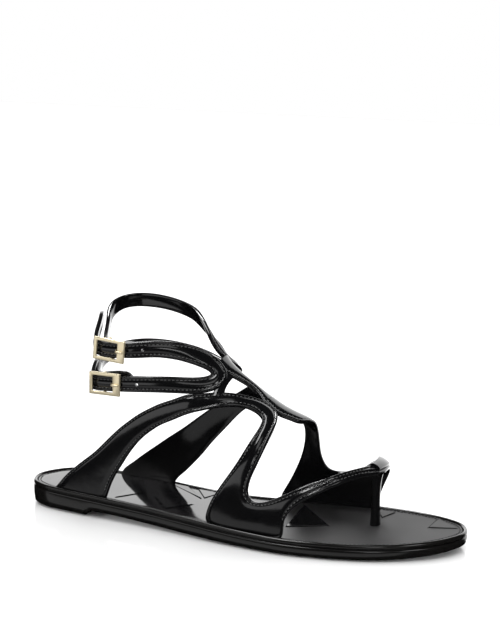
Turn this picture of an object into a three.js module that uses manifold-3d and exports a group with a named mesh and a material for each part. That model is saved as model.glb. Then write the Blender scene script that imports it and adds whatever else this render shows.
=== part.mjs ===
// Flat gladiator thong sandal, right foot, moulded in one glossy colour.
// Millimetres. +X points to the toe, +Y to the medial (big toe) side and +Z up; the sole stands on Z = 0.
import * as THREE from 'three';
import { mergeVertices } from 'three/addons/utils/BufferGeometryUtils.js';
import Module from 'manifold-3d';

const wasm = await Module();
wasm.setup();

// ---------- Driving dimensions ----------
const WALL = 2.4; // thickness of every strap
const GAP = 0.3; // clearance between pieces that meet
const RIM_WIDTH = 2.4; // raised bead round the sole
const RECESS_DEPTH = 2.9; // from the bead's top to the bed that the insole lies on
const INSOLE_THICKNESS = 1.7;
const HEEL_BREAST = 45; // where the heel block ends
const AXIS_HEIGHT = 10; // height of the long axis that the straps' angles are measured round
const SECTION_POWER = 2.3; // roundness of the last's sections
const WAIST_START = 57; // where the tread of the waist takes its own height

// Sole and last, a row for each section from heel to toe: the sole's and the last's half widths on the
// outer and the inner side, the last's top, the height of the bead and the height of the tread.
const sectionColumns = [
  'x', 'soleOuter', 'soleInner', 'lastOuter', 'lastInner', 'lastTop', 'rim', 'underside',
];
const SECTIONS = named([
  [0, 0, 0, 4, 4, 30, 13.3, 0],
  [5, 13.2, 14.3, 9, 10, 45, 13.3, 0],
  [15, 20.4, 23.6, 15, 18, 68, 13.2, 0],
  [31, 24.2, 28.7, 19, 23.6, 96, 12.9, 0],
  [57, 27.7, 28.1, 22.7, 23, 118, 12.3, 2.8],
  [88, 31.7, 23.8, 26.6, 20.6, 122, 11.4, 1.6],
  [105, 34.8, 22.4, 29.4, 20.4, 114, 10.8, 1],
  [119, 37.3, 22.3, 32, 21, 90.5, 10.3, 0.5],
  [134, 40.1, 24.8, 34.9, 22.4, 78.5, 9.8, 0.2],
  [150, 42.4, 29.5, 37.2, 25, 68.5, 9.3, 0],
  [175, 44.2, 37.7, 39.1, 32.6, 57.5, 8.8, 0],
  [201, 40.7, 40.2, 35.6, 35.1, 44.5, 8.8, 0],
  [225, 32.9, 38, 27.8, 31.9, 32, 9, 0.2],
  [243, 21.4, 31.2, 15.5, 23.8, 23, 9.6, 1.1],
  [254.5, 9.4, 22, 5, 14, 16, 10.2, 2.1],
  [260.3, -6, 7, 2, 8, 12, 10.6, 2.8],
], sectionColumns);

// ---------- Small helpers ----------

// A table's rows as objects with the columns' names.
function named(rows, columns) {
  return rows.map((row) => Object.fromEntries(row.map((value, i) => [columns[i], value])));
}

// A smooth curve through one column of a table that has a column x, with no overshoot.
function column(rows, key) {
  const xs = rows.map((row) => row.x);
  const ys = rows.map((row) => row[key]);
  const slope = xs.slice(1).map((x, i) => (ys[i + 1] - ys[i]) / (x - xs[i]));
  const tangent = ys.map((_, i) => {
    if (i === 0) return slope[0];
    if (i === ys.length - 1) return slope[i - 1];
    if (slope[i - 1] * slope[i] <= 0) return 0;
    return (2 * slope[i - 1] * slope[i]) / (slope[i - 1] + slope[i]);
  });
  return (x) => {
    let i = 0;
    while (i < xs.length - 2 && x > xs[i + 1]) i += 1;
    const span = xs[i + 1] - xs[i];
    const t = THREE.MathUtils.clamp((x - xs[i]) / span, 0, 1);
    const rise = (3 - 2 * t) * t * t;
    const bend = t * (1 - t) * span;
    return ys[i] + (ys[i + 1] - ys[i]) * rise + bend * ((1 - t) * tangent[i] - t * tangent[i + 1]);
  };
}

function solid(geometry) {
  const bare = new THREE.BufferGeometry();
  bare.setAttribute('position', geometry.getAttribute('position'));
  if (geometry.index) bare.setIndex(geometry.index);
  const merged = mergeVertices(bare, 1e-4);
  const corners = merged.index.array;
  const kept = [];
  for (let i = 0; i < corners.length; i += 3) {
    const [a, b, c] = corners.slice(i, i + 3);
    if (a !== b && b !== c && c !== a) kept.push(a, b, c);
  }
  return new wasm.Manifold(new wasm.Mesh({
    numProp: 3,
    vertProperties: Float32Array.from(merged.getAttribute('position').array),
    triVerts: Uint32Array.from(kept),
  }));
}

function geometryOf(body) {
  const mesh = body.getMesh();
  const geometry = new THREE.BufferGeometry();
  geometry.setAttribute('position', new THREE.BufferAttribute(Float32Array.from(mesh.vertProperties), 3));
  geometry.setIndex(Array.from(mesh.triVerts));
  return geometry;
}

// A closed skin over rings of equal length. The first and last ring are closed by strips that join
// point i to its partner across the ring.
function loft(rings) {
  const count = rings[0].length;
  const points = rings.flat();
  const faces = [];
  for (let r = 0; r + 1 < rings.length; r += 1) {
    for (let i = 0; i < count; i += 1) {
      const j = (i + 1) % count;
      const [a, b, c, d] = [r * count + i, r * count + j, (r + 1) * count + j, (r + 1) * count + i];
      faces.push(a, b, c, a, c, d);
    }
  }
  const last = (rings.length - 1) * count;
  for (let i = 0; i < count / 2 - 1; i += 1) {
    const k = count - 1 - i;
    const cap = [i, i + 1, k - 1, k];
    faces.push(cap[0], cap[2], cap[1], cap[0], cap[3], cap[2]);
    faces.push(last + cap[0], last + cap[1], last + cap[2], last + cap[0], last + cap[2], last + cap[3]);
  }
  const geometry = new THREE.BufferGeometry();
  geometry.setAttribute('position', new THREE.Float32BufferAttribute(points.flatMap((p) => p.toArray()), 3));
  geometry.setIndex(faces);
  return geometry;
}

// ---------- Sole ----------
const rimHeight = column(SECTIONS, 'rim');
const treadHeight = column(SECTIONS, 'underside');
const HEEL_STEP = 3; // length of the sloped face where the heel block ends
const OUTLINE_STEPS = 46;

// Height of the tread: flat under the heel block, stepping up to the waist behind its breast.
function underside(x) {
  if (x <= HEEL_BREAST) return 0;
  const step = THREE.MathUtils.clamp((x - HEEL_BREAST) / HEEL_STEP, 0, 1);
  return step * treadHeight(Math.max(x, WAIST_START));
}

// The sole's outline as one closed smooth curve, and its half width at a station on either side.
const outlinePoints = [
  ...SECTIONS.map((row) => new THREE.Vector3(row.x, -row.soleOuter, 0)),
  ...SECTIONS.slice(1).reverse().map((row) => new THREE.Vector3(row.x, row.soleInner, 0)),
];
const OUTLINE_POINTS = 900;
const outline = new THREE.CatmullRomCurve3(outlinePoints, true, 'centripetal').getPoints(OUTLINE_POINTS);

function outlineAt(x, side) {
  let best = null;
  for (let i = 0; i + 1 < outline.length; i += 1) {
    const [a, b] = [outline[i], outline[i + 1]];
    if ((a.x - x) * (b.x - x) > 0 || a.x === b.x) continue;
    const y = a.y + ((b.y - a.y) * (x - a.x)) / (b.x - a.x);
    if (best === null || side * y > side * best) best = y;
  }
  return best;
}

const outlineEnds = [Math.min(...outline.map((p) => p.x)), Math.max(...outline.map((p) => p.x))];
const stations = [];
for (let i = 1; i < OUTLINE_STEPS; i += 1) {
  const turn = (1 - Math.cos((Math.PI * i) / OUTLINE_STEPS)) / 2;
  stations.push(outlineEnds[0] + turn * (outlineEnds[1] - outlineEnds[0]));
}
for (const x of [HEEL_BREAST, HEEL_BREAST + HEEL_STEP]) {
  const off = (i) => Math.abs(stations[i] - x);
  const near = stations.reduce((best, _, i) => (off(i) < off(best) ? i : best), 0);
  stations[near] = x;
}
const edge = [
  ...stations.map((x) => new THREE.Vector2(x, outlineAt(x, -1))),
  ...stations.slice().reverse().map((x) => new THREE.Vector2(x, outlineAt(x, 1))),
];

// The outline moved inwards by a distance, at a height that a function gives.
function ring(inset, height) {
  return edge.map((point, i) => {
    const before = edge[(i + edge.length - 1) % edge.length];
    const after = edge[(i + 1) % edge.length];
    const along = after.clone().sub(before).normalize();
    const x = point.x - along.y * inset;
    const y = point.y + along.x * inset;
    return new THREE.Vector3(x, y, height(point.x));
  });
}

// The moulding's section as [inset, height]: heights above the tread, shares of the wall's height, and
// depths below the bead's top.
const TREAD_EDGE = [[3.2, 0], [1.1, 0.9]];
const WALL_SHARES = [[0.2, 0.32], [0, 0.55]];
const BEAD = [
  [0.3, 3.1], [0.8, 2.7], [0.2, 2.2], [0, 1.2], [0.5, 0.3], [1.2, 0], [2, 0.4], [RIM_WIDTH, RECESS_DEPTH],
];

function makeOutsole() {
  const wall = (x) => rimHeight(x) - underside(x);
  return loft([
    ...TREAD_EDGE.map(([inset, up]) => ring(inset, (x) => underside(x) + up)),
    ...WALL_SHARES.map(([inset, share]) => ring(inset, (x) => underside(x) + share * wall(x))),
    ...BEAD.map(([inset, depth]) => ring(inset, (x) => rimHeight(x) - depth)),
  ]);
}

// ---------- Last ----------
const lastOuter = column(SECTIONS, 'lastOuter');
const lastInner = column(SECTIONS, 'lastInner');
const lastTop = column(SECTIONS, 'lastTop');

const SLOPE_STEP = 0.4; // distance and degrees over which the skin's slope is measured

// A point on the last: x along the foot, turn in degrees from the outer side (0) over the top (90)
// to the inner side (180), lifted off the surface by a distance.
function onLast(x, turn, lift = 0) {
  const cos = Math.cos(THREE.MathUtils.degToRad(turn));
  const sin = Math.sin(THREE.MathUtils.degToRad(turn));
  const width = cos > 0 ? lastOuter(x) : lastInner(x);
  const height = lastTop(x) - AXIS_HEIGHT;
  const sum = Math.abs(cos / width) ** SECTION_POWER + Math.abs(sin / height) ** SECTION_POWER;
  const radius = sum ** (-1 / SECTION_POWER);
  const point = new THREE.Vector3(x, -radius * cos, AXIS_HEIGHT + radius * sin);
  if (lift === 0) return point;
  const step = SLOPE_STEP;
  const slope = onLast(x + step, turn).sub(onLast(x - step, turn));
  const across = onLast(x, turn + step).sub(onLast(x, turn - step));
  return point.addScaledVector(slope.cross(across).normalize(), lift);
}

// ---------- Upper: straps laid on the last ----------

// Each table is one strap. A row is a line across it, from [station, turn] on one edge to
// [station, turn] on the other: the station is X and the turn is in degrees as in onLast.
const strapColumns = ['fromX', 'fromTurn', 'toX', 'toTurn'];

// Outer side: up from the heel, over the arch of the window, down to the wing at the ball of the foot
// and over the toes to the post.
const OUTER_STRAP = [
  [21.5, 2, 58.5, 1.5], [25.5, 13, 60, 11], [30.5, 28.5, 62, 23], [39, 41, 65, 33.5], [45.5, 47, 68.5, 41],
  [52, 52, 72.5, 48], [58, 56.5, 76.5, 53], [63, 59.5, 81.5, 57], [68, 62, 87, 59.5], [74, 64, 93.5, 61.5],
  [80.5, 65.8, 100, 62.5], [91.5, 67.5, 106, 63.5], [100.5, 68.3, 112, 65], [108.5, 69.5, 118, 67],
  [117.5, 72.5, 124.5, 69], [127, 76, 130.5, 71], [134, 79, 136.5, 73.5], [138.5, 81.5, 140.5, 75],
  [142.5, 84, 143.5, 75.5], [146.5, 85.5, 146.5, 75.5], [151, 85.5, 149, 74.5], [154.5, 83, 150.5, 73],
  [157, 79, 151, 70.5], [158.5, 72, 151, 67], [158.5, 62.5, 149.5, 60.5], [156, 48.5, 145, 48],
  [153, 38.5, 138.5, 36.5], [152, 31.5, 134, 28.5], [152.3, 28, 130, 19.5], [153, 26, 127.5, 10],
  [154, 24.4, 126.5, 1], [155.5, 23, 131, -5], [158, 22.3, 139, -5], [161, 22.6, 148, -5],
  [164.5, 23.8, 157, -5], [167.5, 25.5, 166, -5], [170, 27.2, 172.5, -4], [171.5, 28.2, 174, 1],
  [173, 29.3, 174.2, 7], [174.8, 30.5, 175, 13], [177.5, 32.7, 178.5, 20.5], [181, 35.7, 183, 26],
  [185.5, 40, 189, 32.5], [190, 44, 194.5, 38.5], [195, 50, 199.5, 45.5], [199, 57, 204.5, 54.5],
  [203, 66, 208.5, 64], [205.7, 76.5, 212, 76.5], [207.3, 87, 213.7, 88], [207, 98, 213.5, 99],
];
// Inner side: the same route, with the loop carried further forward over the instep.
const INNER_STRAP = [
  [42, 179.5, 77, 179.5], [43.5, 167, 79.5, 168], [51, 155, 85, 156], [58, 144, 91, 143],
  [73.5, 127, 98, 131], [89, 117, 104, 123], [100, 112, 114, 115], [112, 107.5, 120, 111],
  [121, 104, 127, 107.5], [130, 99, 134, 105], [137, 93, 141, 104], [144, 87, 147, 102.5],
  [151, 84, 152, 101], [156.5, 82.5, 156, 101], [162, 84.8, 158.5, 103], [167, 86.5, 160, 106],
  [169, 97, 160.5, 110], [168.5, 108, 160.3, 114], [167.5, 118, 159, 122], [166.8, 130, 156.5, 132],
  [167.2, 137, 153, 143], [168.3, 142.5, 149.5, 155], [169.5, 146, 146.5, 166], [170.8, 148.3, 144, 178],
  [172.3, 149.8, 148, 185], [174, 150.6, 158, 185], [176, 151, 170, 185], [178.5, 151, 182, 185],
  [181, 150.7, 192, 184.5], [183.5, 150.3, 197.3, 180], [186, 149.2, 199, 171], [188.5, 147.5, 201, 163],
  [191, 145, 203.5, 155], [194, 141, 206, 147], [197.3, 135.5, 208.5, 137.5], [200.3, 128.5, 210.7, 126.5],
  [203.3, 119, 212.3, 115.5], [206, 107, 213.5, 104], [207.5, 95, 214, 94], [207.5, 84, 213.5, 83],
];
// The short stem that joins the two loops to the ankle straps.
const STEM = [
  [146, 84.5, 146, 99], [139.5, 89.2, 137, 97.5], [134.5, 89, 131.5, 96.5], [130.5, 87.5, 127, 96],
  [125.5, 85.5, 122.5, 96.5], [119, 82.5, 116.5, 97.5],
];
// The bridge that ties the front of the outer ankle strap down to the loop below it.
const BRIDGE = [[121.5, 85, 127.5, 85], [122, 81, 127.5, 81.5], [123, 77.5, 127.5, 78], [122, 73, 128.5, 74]];
// The folded cap over the point where the front straps and the post meet.
const CAP = [
  [206.8, 86, 212.4, 86], [206.4, 95, 212.6, 95], [205.4, 107, 212.4, 107], [203.4, 117, 211.4, 117],
];

// A smooth line through all columns of a table; share runs from 0 at its first row to 1 at its last.
function along(rows, share) {
  const span = rows.length - 1;
  const i = Math.min(Math.floor(share * span), span - 1);
  const t = share * span - i;
  const at = (k) => rows[THREE.MathUtils.clamp(k, 0, span)];
  const blend = (key) => {
    const [a, b, c, d] = [at(i - 1)[key], at(i)[key], at(i + 1)[key], at(i + 2)[key]];
    const slopes = [(c - a) / 2, (d - b) / 2];
    const rise = (3 - 2 * t) * t * t;
    return b + (c - b) * rise + t * (1 - t) * ((1 - t) * slopes[0] - t * slopes[1]);
  };
  return Object.fromEntries(Object.keys(rows[0]).map((key) => [key, blend(key)]));
}

// A closed bar over rings of equal length, each end closed by a fan.
function bar(rings) {
  const count = rings[0].length;
  const faces = [];
  for (let r = 0; r + 1 < rings.length; r += 1) {
    for (let i = 0; i < count; i += 1) {
      const j = (i + 1) % count;
      const [a, b, c, d] = [r * count + i, r * count + j, (r + 1) * count + j, (r + 1) * count + i];
      faces.push(a, b, c, a, c, d);
    }
  }
  const last = (rings.length - 1) * count;
  for (let i = 1; i + 1 < count; i += 1) {
    faces.push(0, i + 1, i, last, last + i, last + i + 1);
  }
  const geometry = new THREE.BufferGeometry();
  const places = rings.flat().flatMap((p) => p.toArray());
  geometry.setAttribute('position', new THREE.Float32BufferAttribute(places, 3));
  geometry.setIndex(faces);
  const body = solid(geometry);
  if (body.volume() > 0) return body;
  const flipped = faces.slice();
  for (let i = 0; i < flipped.length; i += 3) {
    [flipped[i + 1], flipped[i + 2]] = [flipped[i + 2], flipped[i + 1]];
  }
  geometry.setIndex(flipped);
  return solid(geometry);
}

const HAIR = 0.05; // how far each strap stands proud of the one before it
const CAP_FOLD = 1.2; // how much thicker the folded cap is than a strap
const ACROSS = 3; // facets across a strap
const STEPS_PER_ROW = 2; // facets along a strap for each row of its table

// A strap laid on the last between two lifts off its surface.
function laidStrap(table, from = 0, to = WALL, steps = STEPS_PER_ROW) {
  const rows = named(table, strapColumns);
  const count = (rows.length - 1) * steps;
  const rings = [];
  for (let i = 0; i <= count; i += 1) {
    const row = along(rows, i / count);
    const point = (share, lift) => onLast(
      row.fromX + share * (row.toX - row.fromX),
      row.fromTurn + share * (row.toTurn - row.fromTurn),
      lift,
    );
    const ring = [];
    for (let k = 0; k <= ACROSS; k += 1) ring.push(point(k / ACROSS, from));
    for (let k = ACROSS; k >= 0; k -= 1) ring.push(point(k / ACROSS, to));
    rings.push(ring);
  }
  return bar(rings);
}

// ---------- Upper: ankle straps ----------

// A row for each bend: the middle of the strap, its width, the way its outside faces in plan
// (0 outwards, 90 to the toe, -90 to the heel, -180 to the inner side) and how far it leans back.
const bandColumns = ['x', 'y', 'z', 'width', 'facing', 'lean'];

// Outer strap: the upper free end, through the upper buckle, round the front and back to the lower free end.
const OUTER_BAND = [
  [41.4, 3.4, 110.2, 2.5, -64, 0], [42.8, 0.4, 109.4, 7, -64, 0], [46.8, -8.7, 106.4, 8, -64, 0],
  [50.4, -18.5, 103, 8.2, -62, 0], [54.4, -27.4, 99.7, 8.6, -50, 0], [59.2, -31.9, 98.6, 8.4, -16, 0],
  [68, -32.8, 98.3, 8.5, 0, 0], [77, -31.7, 98.7, 8.7, 8, 0], [84, -29.5, 99.2, 8.9, 16, 0],
  [92, -26, 99.8, 9.1, 22, 2], [100, -22, 99, 9.4, 28, 8], [107, -18.3, 97.5, 10, 34, 20],
  [113, -14.8, 95, 10.2, 42, 32], [118, -12.4, 92, 9.8, 50, 42], [122, -12, 88.6, 9.2, 52, 48],
  [123.6, -14, 85.4, 9, 46, 48], [121.5, -17.4, 82.6, 9, 34, 42], [116.5, -20.4, 81.2, 9, 24, 30],
  [110, -23.4, 80.8, 9, 18, 18], [102, -26.4, 81, 9, 14, 9], [92, -29.2, 80.8, 8.9, 11, 4],
  [84, -30.8, 80.4, 8.9, 8, 1], [75, -32.4, 79.9, 8.7, 4, 0], [65, -32.8, 79.25, 8.5, 0, 0],
  [56.6, -31.9, 79, 8.6, -16, 0], [52.6, -27.8, 79.6, 8.6, -50, 0], [49.2, -19.5, 82.6, 8.2, -62, 0],
  [46.6, -12.2, 84.8, 7, -64, 0], [45.2, -9.2, 85.6, 2.5, -64, 0],
];
// Inner strap: from the tab under the upper buckle round the heel to the front and back to the lower tab.
const INNER_BAND = [
  [81, -26.8, 99.4, 3, 10, 0], [79, -27.4, 99.2, 7.6, 8, 0], [73, -28.4, 98, 9.4, 4, 0],
  [66, -28.6, 97.8, 9.6, -2, 0], [60.4, -26.6, 98.2, 9.6, -40, 0], [57, -20.5, 99.9, 8.8, -62, 0],
  [52.6, -11, 102.6, 8.4, -65, 0], [48, -1, 105.6, 8.4, -66, 0], [44, 8.5, 111.4, 7.8, -80, 0],
  [46, 17.5, 115, 7.6, -124, 0], [53, 23, 116.4, 7.8, -156, 0], [62, 25.6, 116.4, 8, -174, 0],
  [73, 25.2, 115.6, 7.8, -188, 0], [84, 22.5, 114, 7.6, -204, 0], [93, 18, 112.2, 7.4, -218, 4],
  [100, 12.5, 109.2, 7.6, -232, 10], [105.8, 8, 105.6, 8, -248, 16], [110.6, 5.4, 101, 8.4, -258, 24],
  [114.4, 5.4, 96.2, 9, -258, 34], [117.5, 8, 91.4, 9, -246, 42], [120.5, 12.8, 87, 9, -228, 46],
  [119, 16.6, 84, 9, -214, 40], [114, 19, 83, 9, -204, 28], [107, 21.2, 84.2, 8.6, -197, 14],
  [98, 23.8, 86.6, 8.2, -191, 6], [86, 25.8, 88.8, 8, -186, 0], [72, 26.8, 90, 8, -181, 0],
  [59, 25.8, 90, 8, -168, 0], [48.6, 21, 88.8, 8, -142, 0], [42, 13, 86.4, 8, -112, 0],
  [40.8, 5, 84.2, 8.2, -80, 0], [44.6, -5, 82, 8.4, -66, 0], [49, -14, 80.4, 8.4, -64, 0],
  [53.2, -22.4, 79.4, 8.4, -62, 0], [57.4, -27.4, 79.2, 9.8, -30, 0], [63.5, -28.6, 79.7, 10.8, -2, 0],
  [70, -28.5, 80.9, 10.6, 3, 0], [76, -28.1, 82.1, 8.2, 6, 0], [78, -27.8, 82.6, 3, 8, 0],
];

const BAND_STEP = 0.2; // share of a facet over which a band's direction is measured

function band(table) {
  const rows = named(table, bandColumns);
  const count = (rows.length - 1) * STEPS_PER_ROW;
  const place = (row) => new THREE.Vector3(row.x, row.y, row.z);
  const rings = [];
  for (let i = 0; i <= count; i += 1) {
    const row = along(rows, i / count);
    const before = along(rows, Math.max(i - BAND_STEP, 0) / count);
    const after = along(rows, Math.min(i + BAND_STEP, count) / count);
    const forward = place(after).sub(place(before)).normalize();
    const facing = THREE.MathUtils.degToRad(row.facing);
    const lean = THREE.MathUtils.degToRad(row.lean);
    const out = new THREE.Vector3(
      Math.sin(facing) * Math.cos(lean),
      -Math.cos(facing) * Math.cos(lean),
      Math.sin(lean),
    );
    out.addScaledVector(forward, -out.dot(forward)).normalize();
    const across = new THREE.Vector3().crossVectors(out, forward);
    const corner = (a, b) => place(row)
      .addScaledVector(across, (a * row.width) / 2)
      .addScaledVector(out, (b * WALL) / 2);
    rings.push([corner(-1, -1), corner(1, -1), corner(1, 1), corner(-1, 1)]);
  }
  return bar(rings);
}

// ---------- Upper: toe post ----------
const POST_SIDES = 14;
// A row for each section: middle and half sizes.
const POST = [
  { z: 6.4, x: 208, y: 7, halfX: 3.2, halfY: 4.6 },
  { z: 10, x: 208.1, y: 6.8, halfX: 2.6, halfY: 3.8 },
  { z: 24, x: 208.6, y: 5.6, halfX: 2.4, halfY: 3.3 },
  { z: 34, x: 209.2, y: 4.6, halfX: 2.6, halfY: 4 },
  { z: 38.4, x: 209.8, y: 4.2, halfX: 3.2, halfY: 5 },
];

function makePost(margin = 0, below = 0) {
  const rows = below > 0 ? [{ ...POST[0], z: POST[0].z - below }, ...POST] : POST;
  return bar(rows.map((row) => {
    const ring = [];
    for (let i = 0; i < POST_SIDES; i += 1) {
      const angle = (2 * Math.PI * i) / POST_SIDES;
      ring.push(new THREE.Vector3(
        row.x + (row.halfX + margin) * Math.cos(angle),
        row.y + (row.halfY + margin) * Math.sin(angle),
        row.z,
      ));
    }
    return ring;
  }));
}

// ---------- Buckles ----------
const FRAME_LENGTH = 19;
const FRAME_HEIGHT = 12.6;
const FRAME_DEPTH = 1.6;
const FRAME_OUT = -34.3; // Y of the frame's inner face: just outside the strap
const FRONT_BAR = 4.4;
const RAIL = 1.5; // width of the other three sides
const FRAME_CHAMFER = 0.35;
const PIN = 1.2; // thickness of the hidden centre bar
const PIN_Y = -30.6; // between the two straps
const PIN_X = -2; // from the frame's middle
const PIN_SHORT = 0.2; // how far the centre bar and its lugs stay inside the frame's outline
const LUG_OVERLAP = 0.6; // how far a lug reaches into the frame's plate
const LUG_CLEAR = 0.1; // from a lug to the window's edge
const PRONG = 1.5; // width of the prong
const PRONG_HALF_THICKNESS = 0.55;
const PRONG_LIFT = GAP + 0.6; // from the front bar's face to the prong's middle
// The prong's route round the centre bar and its hook, [x, y] from the bar's middle.
const PRONG_ROUND = [[-1.5, 0.9], [-1.5, -1.4], [1.6, -1.4]];
const PRONG_HOOK = [[-1.5, 1.4], [1.1, 1.4]];
// Distances from the frame's front end: where the prong leaves the straps, meets the bar and ends.
const PRONG_LEAVES = FRONT_BAR + 2.6;
const PRONG_MEETS = FRONT_BAR + 0.9;
const PRONG_ENDS = 0.6;
const UPPER_BUCKLE = { x: 67.2, z: 98.6, tilt: -5 };
const LOWER_BUCKLE = { x: 64.4, z: 79.5, tilt: -0.5 };

function block(x0, x1, y0, y1, z0, z1) {
  const box = new THREE.BoxGeometry(x1 - x0, y1 - y0, z1 - z0);
  box.translate((x0 + x1) / 2, (y0 + y1) / 2, (z0 + z1) / 2);
  return solid(box);
}

// A frame with a wide front bar and a centre bar carried on two lugs behind its rails.
function makeFrame() {
  const [halfL, halfH] = [FRAME_LENGTH / 2, FRAME_HEIGHT / 2];
  const shape = new THREE.Shape();
  shape.moveTo(-halfL, -halfH);
  shape.lineTo(halfL, -halfH);
  shape.lineTo(halfL, halfH);
  shape.lineTo(-halfL, halfH);
  shape.closePath();
  const opening = new THREE.Path();
  opening.moveTo(-halfL + RAIL, -halfH + RAIL);
  opening.lineTo(-halfL + RAIL, halfH - RAIL);
  opening.lineTo(halfL - FRONT_BAR, halfH - RAIL);
  opening.lineTo(halfL - FRONT_BAR, -halfH + RAIL);
  opening.closePath();
  shape.holes.push(opening);
  const plate = new THREE.ExtrudeGeometry(shape, {
    depth: FRAME_DEPTH - 2 * FRAME_CHAMFER,
    bevelThickness: FRAME_CHAMFER,
    bevelSize: FRAME_CHAMFER,
    bevelOffset: -FRAME_CHAMFER,
    bevelSegments: 1,
  });
  plate.translate(0, 0, FRAME_CHAMFER);
  plate.rotateX(Math.PI / 2);
  plate.translate(0, FRAME_OUT, 0);
  const [back, front] = [PIN_X - PIN / 2, PIN_X + PIN / 2];
  const [near, far] = [halfH - RAIL + LUG_CLEAR, halfH - PIN_SHORT];
  const parts = [
    solid(plate),
    block(back, front, PIN_Y - PIN / 2, PIN_Y + PIN / 2, -far, far),
    block(back, front, FRAME_OUT - LUG_OVERLAP, PIN_Y + PIN / 2, -far, -near),
    block(back, front, FRAME_OUT - LUG_OVERLAP, PIN_Y + PIN / 2, near, far),
  ];
  return parts.reduce((sum, one) => sum.add(one));
}

// The prong hooks round the centre bar, runs between the straps and comes out to rest on the front bar.
function makeProng(margin = 0) {
  const half = PRONG / 2 + margin;
  const thick = PRONG_HALF_THICKNESS + margin;
  const rest = FRAME_OUT - FRAME_DEPTH - PRONG_LIFT;
  const byPin = ([x, y]) => [PIN_X + x, PIN_Y + y];
  const tip = FRAME_LENGTH / 2;
  const route = [
    ...PRONG_ROUND.map(byPin),
    [tip - PRONG_LEAVES, PIN_Y - 0.9], [tip - PRONG_MEETS, rest], [tip - PRONG_ENDS, rest + 0.1],
  ];
  const leg = ([x0, y0], [x1, y1]) => {
    const length = Math.hypot(x1 - x0, y1 - y0) + 2 * thick;
    const box = new THREE.BoxGeometry(length, 2 * thick, 2 * half);
    box.rotateZ(Math.atan2(y1 - y0, x1 - x0));
    box.translate((x0 + x1) / 2, (y0 + y1) / 2, 0);
    return solid(box);
  };
  const legs = route.slice(1).map((end, i) => leg(route[i], end));
  return legs.reduce((sum, one) => sum.add(one), leg(...PRONG_HOOK.map(byPin)));
}

function placed(body, { x, z, tilt }) {
  const geometry = geometryOf(body);
  geometry.rotateY(THREE.MathUtils.degToRad(-tilt));
  geometry.translate(x, 0, z);
  return geometry;
}

// ---------- Assembly ----------

const BEYOND = 4; // how far a cutting body reaches past the faces that it cuts
const INSOLE_EDGE = 0.3; // bevel of the insole's top edge
// Where the straps' feet pass the insole's edge, [from, to] along the sole.
const OUTER_FEET = [[20, 60.5], [124, 176]];
const INNER_FEET = [[41, 78], [142, 198]];
const OUTER_FOOT_TURNS = [14, -14];
const INNER_FOOT_TURNS = [194, 166];
const FOOT_INSIDE = 4 * GAP; // room for the flat facets of the feet, which run inside the last's curve
const FOOT_OUTSIDE = WALL + 2;
const FOOT_STEPS = 8;

// Height of the bed that the insole lies on, raised by the gap.
const bedHeight = (x) => rimHeight(x) - RECESS_DEPTH + GAP;

// The room that the sole takes, grown by the gap: it trims the feet of the straps.
function soleClearance() {
  const above = (x) => rimHeight(x) + GAP;
  return solid(loft([
    ring(-BEYOND, (x) => underside(x) - BEYOND),
    ring(-BEYOND, above),
    ring(RIM_WIDTH + GAP, above),
    ring(RIM_WIDTH + GAP, bedHeight),
  ]));
}

// What the insole leaves clear: the feet of the straps and the post.
function footClearance() {
  const slot = ([from, to], [low, high]) => laidStrap(
    [[from, low, to, low], [from, high, to, high]],
    -FOOT_INSIDE,
    FOOT_OUTSIDE,
    FOOT_STEPS,
  );
  const slots = [
    ...OUTER_FEET.map((span) => slot(span, OUTER_FOOT_TURNS)),
    ...INNER_FEET.map((span) => slot(span, INNER_FOOT_TURNS)),
  ];
  return slots.reduce((sum, one) => sum.add(one), makePost(GAP, BEYOND));
}

function makeInsole() {
  const top = (x) => bedHeight(x) + INSOLE_THICKNESS;
  const panel = solid(loft([
    ring(RIM_WIDTH + GAP, bedHeight),
    ring(RIM_WIDTH + GAP, (x) => top(x) - INSOLE_EDGE),
    ring(RIM_WIDTH + GAP + INSOLE_EDGE, top),
  ]));
  return panel.subtract(footClearance());
}

// The straps as one body. Each is raised a hair from the one before, so that where two cross their faces
// never lie in one plane.
function makeUpper() {
  const laid = [OUTER_STRAP, INNER_STRAP, STEM, BRIDGE];
  const straps = laid.map((table, i) => laidStrap(table, i * HAIR, WALL + i * HAIR));
  straps.push(laidStrap(CAP, 0, WALL + CAP_FOLD), band(OUTER_BAND), band(INNER_BAND), makePost());
  const whole = straps.reduce((sum, one) => sum.add(one));
  const clear = [UPPER_BUCKLE, LOWER_BUCKLE].map((seat) => solid(placed(makeProng(GAP), seat)));
  const cut = [soleClearance(), ...clear].reduce((rest, one) => rest.subtract(one), whole);
  return cut.decompose().reduce((most, one) => (one.volume() > most.volume() ? one : most));
}

const model = new THREE.Group();

function add(name, geometry, material) {
  const mesh = new THREE.Mesh(geometry, material);
  mesh.name = name;
  model.add(mesh);
}

const glossyBlack = () => new THREE.MeshStandardMaterial({ color: 0x0b0b0c, roughness: 0.12, metalness: 0 });
const satinBlack = () => new THREE.MeshStandardMaterial({ color: 0x141416, roughness: 0.28, metalness: 0 });
const paleGold = () => new THREE.MeshStandardMaterial({ color: 0xd9c48f, roughness: 0.22, metalness: 1 });

add('outsole', makeOutsole(), glossyBlack());
add('insole', geometryOf(makeInsole()), satinBlack());
add('upper', geometryOf(makeUpper()), glossyBlack());
for (const [name, seat] of [['upper', UPPER_BUCKLE], ['lower', LOWER_BUCKLE]]) {
  add(`buckle_frame_${name}`, placed(makeFrame(), seat), paleGold());
  add(`buckle_prong_${name}`, placed(makeProng(), seat), paleGold());
}

const whole = new THREE.Box3().setFromObject(model);
const middle = whole.getCenter(new THREE.Vector3());
model.position.set(-middle.x, -middle.y, -whole.min.z);

export default model;
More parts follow.
